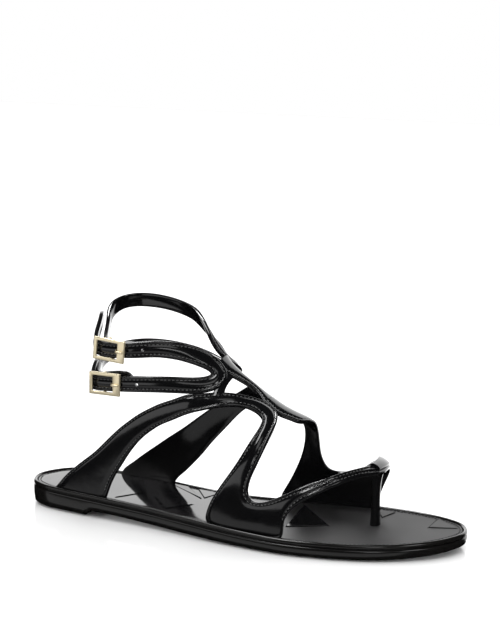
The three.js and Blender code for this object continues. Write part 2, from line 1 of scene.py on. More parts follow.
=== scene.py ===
# %% [markdown]
# # A flat gladiator sandal
# One right shoe, moulded in glossy black: a thin sole with a raised bead round its edge, a footbed, an
# upper of looping straps laid over the foot, and two ankle straps closed by pale gold buckles.
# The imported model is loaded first, because it fixes every size and place. All tables below are in
# millimetres from the heel's back on the sole's centre line, and ORIGIN takes them into the frame.

# %% Load the frame
import math

import bpy
import numpy as np
from mathutils import Matrix, Vector


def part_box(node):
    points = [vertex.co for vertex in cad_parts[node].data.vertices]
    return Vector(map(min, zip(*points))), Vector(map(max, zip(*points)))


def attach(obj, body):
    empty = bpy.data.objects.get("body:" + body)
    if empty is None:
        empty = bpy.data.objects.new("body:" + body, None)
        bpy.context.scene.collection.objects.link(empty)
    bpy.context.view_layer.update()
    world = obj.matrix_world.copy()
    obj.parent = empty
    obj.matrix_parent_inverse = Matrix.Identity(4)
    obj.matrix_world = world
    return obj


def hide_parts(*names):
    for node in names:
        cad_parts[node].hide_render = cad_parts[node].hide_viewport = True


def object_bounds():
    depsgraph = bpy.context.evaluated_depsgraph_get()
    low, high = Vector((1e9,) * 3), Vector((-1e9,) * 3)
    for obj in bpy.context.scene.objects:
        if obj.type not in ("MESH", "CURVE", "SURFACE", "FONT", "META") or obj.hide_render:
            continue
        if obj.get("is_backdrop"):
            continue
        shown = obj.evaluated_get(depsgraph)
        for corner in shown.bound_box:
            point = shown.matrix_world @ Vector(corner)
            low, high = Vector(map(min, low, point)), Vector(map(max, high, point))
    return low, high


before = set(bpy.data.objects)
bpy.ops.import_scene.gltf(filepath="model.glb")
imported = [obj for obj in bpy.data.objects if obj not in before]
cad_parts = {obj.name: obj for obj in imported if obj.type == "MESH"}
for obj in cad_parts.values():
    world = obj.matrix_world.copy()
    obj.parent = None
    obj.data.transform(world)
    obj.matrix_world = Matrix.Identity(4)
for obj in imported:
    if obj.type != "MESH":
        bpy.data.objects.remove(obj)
cad_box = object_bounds()
MM = 0.001
SOLE_HALF_WIDTHS = (44.23, 40.16)  # to the outer and to the inner side
HEEL_TRIM = 0.3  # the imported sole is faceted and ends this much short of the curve's heel point
sole_low, sole_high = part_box("outsole")
across = (sole_low.y + sole_high.y) / 2 + (SOLE_HALF_WIDTHS[0] - SOLE_HALF_WIDTHS[1]) / 2 * MM
ORIGIN = np.array([sole_low.x - HEEL_TRIM * MM, across, 0.0])
print("the sole is", [round(v / MM, 1) for v in sole_high - sole_low], "mm; zero lies at", ORIGIN.round(5))

# %% [markdown]
# The camera looks at the outer side from a little in front and above. It stands more than a metre off
# with a long lens, as a product view does, so that the straps keep their true proportions.

# %% Camera
CAMERA_PLACE = np.array([587.5, -968.8, 314.8]) * MM + ORIGIN
CAMERA_RIGHT = Vector((0.9054, 0.4245, 0.0091))
CAMERA_UP = Vector((-0.0844, 0.1589, 0.9837))
CAMERA_BACK = CAMERA_RIGHT.cross(CAMERA_UP)
FRAME_WIDTH, LENS = 36.0, 143.9  # millimetres, as on a full-frame camera

bpy.ops.object.camera_add()
camera = bpy.context.object
camera.name = "camera"
camera.matrix_world = Matrix.Translation(CAMERA_PLACE) @ Matrix(
    (CAMERA_RIGHT, CAMERA_UP, CAMERA_BACK)).transposed().to_4x4()
camera.data.sensor_fit = "HORIZONTAL"
camera.data.sensor_width, camera.data.lens = FRAME_WIDTH, LENS
camera.data.clip_start, camera.data.clip_end = 0.05, 50
bpy.context.scene.camera = camera
print("the camera stands", round(camera.location.length, 2), "m off")

# %% [markdown]
# The last is the wooden foot that a shoemaker lays the straps on. Here it is a table of sections from
# heel to toe, and one function that gives any point on its skin. The same table gives the sole's
# outline, so straps and sole belong together.

# %% Sections of the sole and the last
AXIS_HEIGHT = 10.0  # the turn of a point is measured round a line at this height
SECTION_POWER = 2.3  # a little squarer than an ellipse, whose power is 2
NORMAL_STEP = 0.4  # how far either side of a point its normal is felt out
SECTION_COLUMNS = ("x", "sole_outer", "sole_inner", "last_outer", "last_inner", "last_top",
                   "rim", "underside")
SECTIONS = np.array([
    (0, 0, 0, 4, 4, 30, 13.3, 0), (5, 13.2, 14.3, 9, 10, 45, 13.3, 0),
    (15, 20.4, 23.6, 15, 18, 68, 13.2, 0), (31, 24.2, 28.7, 19, 23.6, 96, 12.9, 0),
    (57, 27.7, 28.1, 22.7, 23, 118, 12.3, 2.8), (88, 31.7, 23.8, 26.6, 20.6, 122, 11.4, 1.6),
    (105, 34.8, 22.4, 29.4, 20.4, 114, 10.8, 1), (119, 37.3, 22.3, 32, 21, 90.5, 10.3, 0.5),
    (134, 40.1, 24.8, 34.9, 22.4, 78.5, 9.8, 0.2), (150, 42.4, 29.5, 37.2, 25, 68.5, 9.3, 0),
    (175, 44.2, 37.7, 39.1, 32.6, 57.5, 8.8, 0), (201, 40.7, 40.2, 35.6, 35.1, 44.5, 8.8, 0),
    (225, 32.9, 38.0, 27.8, 31.9, 32, 9.0, 0.2), (243, 21.4, 31.2, 15.5, 23.8, 23, 9.6, 1.1),
    (254.5, 9.4, 22, 5, 14, 16, 10.2, 2.1), (260.3, -6, 7, 2, 8, 12, 10.6, 2.8)], float)


def column(name):
    """A smooth function of x through one column of the sections, with no overshoot."""
    xs, ys = SECTIONS[:, 0], SECTIONS[:, SECTION_COLUMNS.index(name)]
    slope = np.diff(ys) / np.diff(xs)
    tangent = np.concatenate([slope[:1], np.zeros(len(xs) - 2), slope[-1:]])
    product, total = slope[:-1] * slope[1:], slope[:-1] + slope[1:]
    tangent[1:-1] = np.where(product > 0, 2 * product / np.where(product > 0, total, 1), 0)

    def at(x):
        i = np.clip(np.searchsorted(xs, x, side="right") - 1, 0, len(xs) - 2)
        span = xs[i + 1] - xs[i]
        t = np.clip((x - xs[i]) / span, 0, 1)
        bend = t * (1 - t) * span * ((1 - t) * tangent[i] - t * tangent[i + 1])
        return ys[i] + (ys[i + 1] - ys[i]) * (3 - 2 * t) * t * t + bend
    return at


last_outer, last_inner, last_top = column("last_outer"), column("last_inner"), column("last_top")
rim_height, tread_height = column("rim"), column("underside")


def last_skin(x, turn):
    """Points on the last, turn in degrees from the outer side (0) over the top (90) to the inner side."""
    cos, sin = np.cos(np.radians(turn)), np.sin(np.radians(turn))
    width = np.where(cos > 0, last_outer(x), last_inner(x))
    height = last_top(x) - AXIS_HEIGHT
    sides = np.abs(cos / width) ** SECTION_POWER + np.abs(sin / height) ** SECTION_POWER
    radius = sides ** (-1 / SECTION_POWER)
    return np.stack([x + 0 * radius, -radius * cos, AXIS_HEIGHT + radius * sin], -1)


def on_last(x, turn, lift):
    """Points lifted off the last along its normal."""
    x, turn, lift = np.broadcast_arrays(*(np.asarray(v, float) for v in (x, turn, lift)))
    out = np.cross(last_skin(x + NORMAL_STEP, turn) - last_skin(x - NORMAL_STEP, turn),
                   last_skin(x, turn + NORMAL_STEP) - last_skin(x, turn - NORMAL_STEP))
    out /= np.linalg.norm(out, axis=-1, keepdims=True)
    return last_skin(x, turn) + out * lift[..., None]


print("the last is", float(last_top(88.0)), "mm high at the ankle")

# %% [markdown]
# ## A sheet that can be laid anywhere
# A strap, a sole wall and a footbed are all sheets with a long side and a short side. So each starts as
# a plain grid, and its points are laid one by one where the piece needs them. A grid is used because its
# points come in a known order, which a cube or a circle would not give. Where the sheet closes on itself
# its seam is merged, and its open ends are filled, so that it is one closed solid.

# %% From a grid to a solid
MERGE_DISTANCE = 2e-6


def deselect():
    for thing in bpy.context.selected_objects:
        thing.select_set(False)


def make_active(piece):
    deselect()
    piece.select_set(True)
    bpy.context.view_layer.objects.active = piece


def lay_grid(name, places, close_ends=True):
    """A solid from places (rows, columns, 3) in millimetres, closed round its columns."""
    places = np.concatenate([places, places[:, :1]], 1)
    rows, columns = places.shape[:2]
    deselect()
    bpy.ops.mesh.primitive_grid_add(x_subdivisions=columns - 1, y_subdivisions=rows - 1, size=1)
    piece = bpy.context.object
    piece.name = piece.data.name = name
    assert len(piece.data.vertices) == rows * columns, (name, rows, columns)
    piece.data.vertices.foreach_set("co", (places.reshape(-1, 3) * MM + ORIGIN).ravel())
    bpy.ops.object.mode_set(mode="EDIT")
    bpy.ops.mesh.select_all(action="SELECT")
    bpy.ops.mesh.remove_doubles(threshold=MERGE_DISTANCE)
    bpy.ops.mesh.select_all(action="DESELECT")
    bpy.ops.mesh.select_mode(type="EDGE")
    bpy.ops.mesh.select_non_manifold()
    if close_ends:
        bpy.ops.mesh.fill_holes(sides=0)
    bpy.ops.mesh.select_all(action="SELECT")
    bpy.ops.mesh.normals_make_consistent(inside=False)
    bpy.ops.object.mode_set(mode="OBJECT")
    return piece


def smooth_shading(piece, degrees=40):
    make_active(piece)
    bpy.ops.object.shade_smooth_by_angle(angle=math.radians(degrees))


def apply_boolean(piece, tool, operation):
    """Joins a tool to a piece or cuts it out, and removes the tool."""
    make_active(piece)
    joint = piece.modifiers.new("joint", "BOOLEAN")
    joint.operation, joint.solver, joint.object = operation, "EXACT", tool
    bpy.ops.object.modifier_apply(modifier=joint.name)
    bpy.data.objects.remove(tool)


def round_edges(piece, width, segments):
    make_active(piece)
    bevel = piece.modifiers.new("round", "BEVEL")
    bevel.width, bevel.segments, bevel.limit_method = width * MM, segments, "ANGLE"
    bevel.angle_limit = math.radians(30)
    bpy.ops.object.modifier_apply(modifier=bevel.name)


def spline(table, per_row):
    """A smooth line through a table's rows, eased a little so that small steps in the rows do not show."""
    table = np.array(table, float)
    padded = np.concatenate([table[:1], table, table[-1:]])
    s = np.linspace(0, len(table) - 1, (len(table) - 1) * per_row + 1)
    i = np.minimum(s.astype(int), len(table) - 2)
    t = (s - i)[:, None]
    a, b, c, d = (padded[i + k] for k in range(4))
    rise, bend = (3 - 2 * t) * t * t, t * (1 - t) / 2
    rows = b + (c - b) * rise + bend * ((1 - t) * (c - a) - t * (d - b))
    for _ in range(per_row * per_row // 4):
        rows[1:-1] = (rows[:-2] + 2 * rows[1:-1] + rows[2:]) / 4
    return rows


print("grid, join and spline helpers are ready")

# %% [markdown]
# ## Sole
# The sole is one moulding. Its side wall swells a little and tucks in at the tread, a fine groove runs
# under a rounded bead at the top edge, and inside the bead a recess takes the footbed. Under the heel it
# is a low block; in front of it the waist is raised. Every ring of the moulding is the outline moved
# inwards, so one list of insets and heights draws the whole section.

# %% Outline of the sole
HEEL_BREAST, HEEL_STEP, WAIST_START = 45.0, 3.0, 57.0
RIM_WIDTH, RECESS_DEPTH = 2.4, 2.9
CURVE_STEPS, OUTLINE_POINTS = 60, 300
PARTING_STEPS = (0.25, 0.5, 0.8, 1.2)  # extra points beside the parting line at the heel
PARTING_HEIGHT, PARTING_WIDTH = 0.16, 0.45
BOX_MARGIN = 0.17  # room for the parting line that stands proud of the side wall


def closed_curve(points, count):
    """A closed centripetal curve through the points, as many points for each span."""
    spans = []
    n = len(points)
    for k in range(n):
        p0, p1, p2, p3 = (points[(k + j) % n] for j in (-1, 0, 1, 2))
        d0, d1, d2 = (np.sqrt(np.linalg.norm(b - a)) for a, b in ((p0, p1), (p1, p2), (p2, p3)))
        t1 = ((p1 - p0) / d0 - (p2 - p0) / (d0 + d1) + (p2 - p1) / d1) * d1
        t2 = ((p2 - p1) / d1 - (p3 - p1) / (d1 + d2) + (p3 - p2) / d2) * d1
        t = np.linspace(0, 1, count, endpoint=False)[:, None]
        square, cube = 3 * (p2 - p1) - 2 * t1 - t2, 2 * (p1 - p2) + t1 + t2
        spans.append(p1 + t1 * t + square * t ** 2 + cube * t ** 3)
    return np.concatenate(spans)


corners = [np.array([row[0], -row[1]]) for row in SECTIONS] + [
    np.array([row[0], row[2]]) for row in SECTIONS[1:-1][::-1]]
curve = closed_curve(corners, CURVE_STEPS)
curve = np.concatenate([curve, curve[:1]])
lengths = np.concatenate([[0], np.cumsum(np.linalg.norm(np.diff(curve, axis=0), axis=1))])
PERIMETER = lengths[-1]
stops = np.sort(np.concatenate([np.linspace(0, PERIMETER, OUTLINE_POINTS, endpoint=False), PARTING_STEPS,
                                PERIMETER - np.array(PARTING_STEPS)]))
outline = np.stack([np.interp(stops, lengths, curve[:, k]) for k in (0, 1)], 1)
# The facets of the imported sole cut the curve's corners, so the outline is drawn in to the sole's box.
for k in (0, 1):
    start, end = (np.array([sole_low[k], sole_high[k]]) - ORIGIN[k]) / MM + (BOX_MARGIN, -BOX_MARGIN)
    part_way = (outline[:, k] - outline[:, k].min()) / np.ptp(outline[:, k])
    outline[:, k] = start + part_way * (end - start)
tangent = np.roll(outline, -1, 0) - np.roll(outline, 1, 0)
tangent /= np.linalg.norm(tangent, axis=1, keepdims=True)
inward = np.stack([-tangent[:, 1], tangent[:, 0]], 1)
from_parting = np.minimum(stops, PERIMETER - stops)
print("the outline is", round(PERIMETER), "mm long, in", len(outline), "points")


# %% Rings of the sole
SPINE_ENDS = (32.0, 228.0)
sole_outer, sole_inner = column("sole_outer"), column("sole_inner")


def underside(x):
    return np.clip((x - HEEL_BREAST) / HEEL_STEP, 0, 1) * tread_height(np.maximum(x, WAIST_START))


def ring(inset, height):
    """The outline moved inwards by an inset, or by one for each point; height is a function of x."""
    plan = outline + inward * np.reshape(inset, (-1, 1))
    return np.concatenate([plan, height(outline[:, 0])[:, None]], 1)


def towards_spine(edge, share, height):
    """A ring between an edge ring (share 1) and the line down the sole's middle (share 0)."""
    partner = -np.arange(len(edge)) % len(edge)  # the point straight across the sole
    x = np.clip((edge[:, 0] + edge[partner, 0]) / 2, *SPINE_ENDS)
    spine = np.stack([x, (sole_inner(x) - sole_outer(x)) / 2], 1)
    plan = spine + (edge[:, :2] - spine) * share
    return np.concatenate([plan, height(plan)[:, None]], 1)


TREAD_SHARES, RECESS_SHARES = (0, 0.2, 0.4, 0.6, 0.8, 0.93), (0.7, 0.35, 0)
# Inset and height above the tread, from the tread's edge up.
SIDE_LOW = [(3.2, 0.0), (2.3, 0.12), (1.4, 0.55), (0.75, 1.2)]
SWELL_INSET, SWELL_SHARE = 0.18, 0.36  # where the side wall bulges, as a share of its height
# Inset and depth below the bead's top, up the wall, through the groove, over the bead and into the recess.
SIDE_HIGH = [(0.0, 4.3), (0.1, 3.6), (0.32, 3.15), (0.7, 2.95), (0.95, 2.75), (0.95, 2.6), (0.7, 2.4),
             (0.3, 2.15), (0.06, 1.75), (0.0, 1.3), (0.1, 0.8), (0.38, 0.35), (0.8, 0.08), (1.2, 0.0),
             (1.6, 0.08), (2.0, 0.4), (2.25, 0.9), (RIM_WIDTH, 1.5), (RIM_WIDTH, RECESS_DEPTH)]
LAST_PARTED = 1.0  # the parting line runs over the rings whose inset is less than this
parting = PARTING_HEIGHT * np.exp(-(from_parting / PARTING_WIDTH) ** 2)


def swell_height(x):
    return underside(x) + SWELL_SHARE * (rim_height(x) - underside(x))


def recess_floor(x):
    return rim_height(x) - RECESS_DEPTH


tread_edge = ring(SIDE_LOW[0][0], underside)
rings = [towards_spine(tread_edge, share, lambda p: underside(p[:, 0])) for share in TREAD_SHARES]
rings += [tread_edge]
rings += [ring(inset - parting, lambda x, up=up: underside(x) + up) for inset, up in SIDE_LOW[1:]]
rings += [ring(SWELL_INSET - parting, swell_height)]
rings += [ring(inset - parting * (inset < LAST_PARTED), lambda x, down=down: rim_height(x) - down)
          for inset, down in SIDE_HIGH]
bed_edge = rings[-1]
rings += [towards_spine(bed_edge, share, lambda p: recess_floor(p[:, 0])) for share in RECESS_SHARES]
sole = lay_grid("sole", np.array(rings))
smooth_shading(sole, 50)
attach(sole, "root")
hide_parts("outsole")
print("sole:", len(sole.data.polygons), "faces")

# %% [markdown]
# ## Footbed
# The footbed is a thinner moulding that drops into the recess. Its edge is rounded and a low bead runs
# just inside it. Its top is nearly flat: it is drawn as rings that close in on the sole's middle line, and
# it waves by a few hundredths, as a thin moulding does, so that its reflections are not ruler straight.

# %% Footbed
BED_CLEARANCE, BED_THICKNESS = 0.2, 1.9
# Inset and depth below the footbed's top, from its wall over the rounded edge to the flat.
BED_EDGE = [(2.6, 1.7), (2.6, 0.6), (2.7, 0.3), (2.95, 0.08), (3.3, 0.0), (3.7, 0.02), (4.0, 0.16),
            (4.25, 0.2), (4.5, 0.16), (4.8, 0.03)]
BED_INSET, BED_DIP = BED_EDGE[0][0], BED_EDGE[-1][1]
TOP_SHARES, FADE_SHARE = np.linspace(0.985, 0, 34), 0.05  # the waves fade out towards the edge


def waves(plan):
    x, y = plan[:, 0], plan[:, 1]
    long_waves = 0.05 * np.sin(x / 9 + 0.6 * np.sin(y / 7)) * np.cos(y / 11 + x / 37)
    return long_waves + 0.02 * np.sin(x / 3.1 + y / 4.3)


def bed_bottom(x):
    return recess_floor(x) + BED_CLEARANCE


def bed_top(x):
    return bed_bottom(x) + BED_THICKNESS


below = ring(BED_INSET, bed_bottom)
rings = [towards_spine(below, share, lambda p: bed_bottom(p[:, 0])) for share in (0, 0.5)] + [below]
rings += [ring(inset, lambda x, down=down: bed_top(x) - down) for inset, down in BED_EDGE]
flat_edge = rings[-1]
for share in TOP_SHARES:
    fade = min(1.0, (1 - share) / FADE_SHARE)
    rings.append(towards_spine(flat_edge, share,
                               lambda p, fade=fade: bed_top(p[:, 0]) - BED_DIP + fade * waves(p)))
footbed = lay_grid("footbed", np.array(rings))
print("footbed before its facets:", len(footbed.data.polygons), "faces")

# %% [markdown]
# The footbed is decorated with a few large triangular facets. Each is a thin wedge that rises out of the
# bed from its lowest corner and ends in a crisp step, with a narrow channel round it. The wedge and the
# tool that cuts its channel are low cylinders of three sides, whose six corners are laid one by one.

# %% Facets of the footbed
# Three corners (x, y, rise above the bed) for each facet.
FACETS = [
    [(235.7, 31.7, 0.1), (236.9, 12.5, 0.45), (251.5, 15.4, 0.3)],
    [(198.6, 34.2, 0.1), (209.3, 32.6, 0.4), (206.7, 20.8, 0.4)],
    [(158.6, 23.9, 0.1), (186.3, -7.1, 0.45), (166.9, -19.1, 0.5)],
    [(74.5, 22.5, 0.1), (104.6, 3.4, 0.5), (87.7, 20.3, 0.35)],
    [(105.6, 5.4, 0.45), (108.7, 19.6, 0.1), (95.6, 18.6, 0.4)],
    [(80.9, -7.2, 0.15), (105.5, -9.5, 0.45), (96.3, -24.7, 0.45)],
    [(18.0, 2.2, 0.4), (27.0, 18.8, 0.1), (34.1, -12.6, 0.4)],
    [(118.2, 14.7, 0.1), (126.6, -16.2, 0.4), (140.2, 3.2, 0.45)],
    [(58.2, 19.7, 0.1), (62.6, -20.2, 0.4), (72.2, -2.8, 0.45)]]
MOAT, MOAT_DEPTH = 1.2, 0.7  # the channel's width and depth
CUT_ABOVE, WEDGE_ROOT = 2.0, 0.3  # the cutter stands above the bed; the wedge roots below the channel
FACET_ROUND, FACET_SHADE = 0.12, 25
POLISHED_FACET = 2  # the one beside the ball of the foot is polished, the others are like the bed


def three_sided(corners, low, high, wider=0.0):
    """A three-sided block over a facet's corners, moved out by wider; low and high are their levels."""
    deselect()
    bpy.ops.mesh.primitive_cylinder_add(vertices=3, radius=1, depth=2)
    tool = bpy.context.object
    points = tool.data.vertices
    plan = np.array(corners, float)[:, :2]
    a, b = plan[1] - plan[0], plan[2] - plan[0]
    if a[0] * b[1] - a[1] * b[0] > 0:
        plan, low, high = plan[::-1], low[::-1], high[::-1]
    middle = plan.mean(0)
    plan = plan + wider * (plan - middle) / np.linalg.norm(plan - middle, axis=1, keepdims=True)
    seats = sorted(range(6), key=lambda k: (points[k].co.z, math.atan2(*points[k].co.xy)))
    for place, vertex in enumerate(seats):
        corner = place % 3
        level = high[corner] if place > 2 else low[corner]
        points[vertex].co = np.array([*plan[corner], level]) * MM + ORIGIN
    return tool


for corners in FACETS:
    ground = bed_top(np.array([c[0] for c in corners], float))
    rise = np.array([c[2] for c in corners])
    channel = three_sided(corners, ground - MOAT_DEPTH, ground + CUT_ABOVE, MOAT)
    apply_boolean(footbed, channel, "DIFFERENCE")
    wedge = three_sided(corners, ground - MOAT_DEPTH - WEDGE_ROOT, ground + rise)
    round_edges(wedge, FACET_ROUND, 1)
    apply_boolean(footbed, wedge, "UNION")
smooth_shading(footbed, FACET_SHADE)
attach(footbed, "root")
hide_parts("insole")
print("footbed:", len(footbed.data.polygons), "faces")

# %% [markdown]
# ## Straps
# Each strap is a band between two edges that are drawn on the last. A row of its table is a line across
# it, [x, turn] on one edge to [x, turn] on the other. Its section has rounded edges, a fine channel for
# the seam just inside each edge, and a slightly crowned middle, which is what makes its long soft
# highlight.

# %% Strap tables
OUTER_STRAP = [
    (21.5, 2, 58.5, 1.5), (25.5, 13, 60, 11), (30.5, 28.5, 62, 23), (39, 41, 65, 33.5),
    (45.5, 47, 68.5, 41), (52, 52, 72.5, 48), (58, 56.5, 76.5, 53), (63, 59.5, 81.5, 57),
    (68, 62, 87, 59.5), (74, 64, 93.5, 61.5), (80.5, 65.8, 100, 62.5), (91.5, 67.5, 106, 63.5),
    (100.5, 68.3, 112, 65), (108.5, 69.5, 118, 67), (117.5, 72.5, 124.5, 69), (127, 76, 130.5, 71),
    (134, 79, 136.5, 73.5), (138.5, 81.5, 140.5, 75), (142.5, 84, 143.5, 75.5), (146.5, 85.5, 146.5, 75.5),
    (151, 85.5, 149, 74.5), (154.5, 83, 150.5, 73), (157, 79, 151, 70.5), (158.5, 72, 151, 67),
    (158.5, 62.5, 149.5, 60.5), (156, 48.5, 145, 48), (153, 38.5, 138.5, 36.5), (152, 31.5, 134, 28.5),
    (152.3, 28, 130, 19.5), (153, 26, 127.5, 10), (154, 24.4, 126.5, 1), (155.5, 23, 131, -5),
    (158, 22.3, 139, -5), (161, 22.6, 148, -5), (164.5, 23.8, 157, -5), (167.5, 25.5, 166, -5),
    (170, 27.2, 172.5, -4), (171.5, 28.2, 174, 1), (173, 29.3, 174.2, 7), (174.8, 30.5, 175, 13),
    (177.5, 32.7, 178.5, 20.5), (181, 35.7, 183, 26), (185.5, 40, 189, 32.5), (190, 44, 194.5, 38.5),
    (195, 50, 199.5, 45.5), (199, 57, 204.5, 54.5), (203, 66, 208.5, 64), (205.7, 76.5, 212, 76.5),
    (207.3, 87, 213.7, 88), (207, 98, 213.5, 99)]
INNER_STRAP = [
    (42, 179.5, 77, 179.5), (43.5, 167, 79.5, 168), (51, 155, 85, 156), (58, 144, 91, 143),
    (73.5, 127, 98, 131), (89, 117, 104, 123), (100, 112, 114, 115), (112, 107.5, 120, 111),
    (121, 104, 127, 107.5), (130, 99, 134, 105), (137, 93, 141, 104), (144, 87, 147, 102.5),
    (151, 84, 152, 101), (156.5, 82.5, 156, 101), (162, 84.8, 158.5, 103), (167, 86.5, 160, 106),
    (169, 97, 160.5, 110), (168.5, 108, 160.3, 114), (167.5, 118, 159, 122), (166.8, 130, 156.5, 132),
    (167.2, 137, 153, 143), (168.3, 142.5, 149.5, 155), (169.5, 146, 146.5, 166), (170.8, 148.3, 144, 178),
    (172.3, 149.8, 148, 185), (174, 150.6, 158, 185), (176, 151, 170, 185), (178.5, 151, 182, 185),
    (181, 150.7, 192, 184.5), (183.5, 150.3, 197.3, 180), (186, 149.2, 199, 171), (188.5, 147.5, 201, 163),
    (191, 145, 203.5, 155), (194, 141, 206, 147), (197.3, 135.5, 208.5, 137.5), (200.3, 128.5, 210.7, 126.5),
    (203.3, 119, 212.3, 115.5), (206, 107, 213.5, 104), (207.5, 95, 214, 94), (207.5, 84, 213.5, 83)]
STEM = [(146, 84.5, 146, 99), (139.5, 89.2, 137, 97.5), (134.5, 89, 131.5, 96.5), (130.5, 87.5, 127, 96),
        (125.5, 85.5, 122.5, 96.5), (119, 82.5, 116.5, 97.5)]
BRIDGE = [(121.5, 85, 127.5, 85), (122, 81, 127.5, 81.5), (123, 77.5, 127.5, 78), (122, 73, 128.5, 74)]
CAP = [(207.1, 86, 212.2, 86), (206.8, 95, 212.4, 95), (205.8, 107, 212.2, 107), (203.8, 117, 211.2, 117)]
print("strap tables:", [len(t) for t in (OUTER_STRAP, INNER_STRAP, STEM, BRIDGE, CAP)], "rows")

# %% Straps laid on the last
SEAM_INSET, WALL = 1.9, 2.4
# In from the edge and up from the inside face, from the inside face round the edge to the crown.
SEAMED_EDGE = [(1.5, 0.0), (0.5, 0.0), (0.12, 0.12), (0.0, 0.45), (0.0, 1.45), (0.1, 1.9), (0.35, 2.22),
               (0.75, 2.38), (1.15, 2.38), (1.5, 2.2), (1.75, 2.06), (2.05, 2.06), (2.3, 2.2), (2.65, 2.4)]
PLAIN_EDGE = [(1.2, 0.0), (0.4, 0.0), (0.1, 0.1), (0.0, 0.4), (0.0, 1.5), (0.15, 2.0), (0.5, 2.32),
              (1.0, 2.4)]
TOP_STEPS, INSIDE_STEPS = 7, 7
CROWN, HOLLOW = 0.4, 0.03  # rise of the outside, and hollow of the inside as a share of the width
DEEPEST_HOLLOW = 1.0
# Straps that cross lie a hair apart, because a join of two skins that coincide would fail.
INNER_RAISED, STEM_RAISED, BRIDGE_RAISED = 0.05, 0.1, -0.1
CAP_THICKER = 1.5  # the cap is folded double


def section(width, edge, thicker=0.0):
    """Shares across a strap and lifts off its inside face, round its section, for an array of widths."""
    width = np.asarray(width, float)[:, None]
    inset = np.array([e[0] for e in edge])
    lift = np.array([e[1] * (1 + thicker / WALL) for e in edge])
    near = inset / width
    top = np.linspace(0, 1, TOP_STEPS + 2)[1:-1]
    start = inset[-1] / width
    across = start + (1 - 2 * start) * top
    crown = lift[-1] + CROWN * (1 - (2 * top - 1) ** 2)
    inside = np.linspace(0, 1, INSIDE_STEPS + 2)[1:-1]
    back = 1 - (inset[0] / width + (1 - 2 * inset[0] / width) * inside)
    deepest = (edge is SEAMED_EDGE) * np.minimum(HOLLOW * width, DEEPEST_HOLLOW)
    hollow = deepest * (1 - (2 * inside - 1) ** 2)
    outside = np.tile(np.concatenate([lift, crown, lift[::-1]]), (len(width), 1))
    shares = np.concatenate([near, across, 1 - near[:, ::-1], back], 1)
    return shares, np.concatenate([outside, hollow[:, ::-1]], 1)


def strap_places(lines, share, lift):
    """Points on lines drawn across a laid strap, at a share of their length."""
    x = lines[:, :1] + share * (lines[:, 2:3] - lines[:, :1])
    turn = lines[:, 1:2] + share * (lines[:, 3:4] - lines[:, 1:2])
    return on_last(x, turn, lift)


def strap_width(lines):
    return np.linalg.norm(strap_places(lines, 1.0, 0.0) - strap_places(lines, 0.0, 0.0), axis=-1)


def laid_strap(name, table, edge, per_row=6, thicker=0.0, raised=0.0):
    lines = spline(table, per_row)
    shares, lifts = section(strap_width(lines).ravel(), edge, thicker)
    return lay_grid(name, strap_places(lines, shares, lifts + raised))


upper = laid_strap("straps", OUTER_STRAP, SEAMED_EDGE)
parts = [laid_strap("inner_strap", INNER_STRAP, SEAMED_EDGE, raised=INNER_RAISED),
         laid_strap("stem", STEM, SEAMED_EDGE, raised=STEM_RAISED),
         laid_strap("bridge", BRIDGE, PLAIN_EDGE, raised=BRIDGE_RAISED),
         laid_strap("cap", CAP, PLAIN_EDGE, thicker=CAP_THICKER)]
print("straps on the last:", [len(p.data.polygons) for p in [upper] + parts], "faces")

# %% [markdown]
# The two ankle straps stand free, as they do when the shoe is buckled with no foot in it. Each is a band
# round a line in space: a row gives the line's point, the band's width, the way its outside faces in
# plan and how far it leans back, in degrees. Both start and end in narrow tips.

# %% Ankle straps
OUTER_BAND = [
    (41.4, 3.4, 110.2, 2.5, -64, 0), (42.8, 0.4, 109.4, 7, -64, 0), (46.8, -8.7, 106.4, 8, -64, 0),
    (50.4, -18.5, 103, 8.2, -62, 0), (54.4, -27.4, 99.7, 8.6, -50, 0), (59.2, -31.9, 98.6, 8.4, -16, 0),
    (68, -32.8, 98.3, 8.5, 0, 0), (77, -31.7, 98.7, 8.7, 8, 0), (84, -29.5, 99.2, 8.9, 16, 0),
    (92, -26, 99.8, 9.1, 22, 2), (100, -22, 99, 9.4, 28, 8), (107, -18.3, 97.5, 10, 34, 20),
    (113, -14.8, 95, 10.2, 42, 32), (118, -12.4, 92, 9.8, 50, 42), (122, -12, 88.6, 9.2, 52, 48),
    (123.6, -14, 85.4, 9, 46, 48), (121.5, -17.4, 82.6, 9, 34, 42), (116.5, -20.4, 81.2, 9, 24, 30),
    (110, -23.4, 80.8, 9, 18, 18), (102, -26.4, 81, 9, 14, 9), (92, -29.2, 80.8, 8.9, 11, 4),
    (84, -30.8, 80.4, 8.9, 8, 1), (75, -32.4, 79.9, 8.7, 4, 0), (65, -32.8, 79.25, 8.5, 0, 0),
    (56.6, -31.9, 79, 8.6, -16, 0), (52.6, -27.8, 79.6, 8.6, -50, 0), (49.2, -19.5, 82.6, 8.2, -62, 0),
    (46.6, -12.2, 84.8, 7, -64, 0), (45.2, -9.2, 85.6, 2.5, -64, 0)]
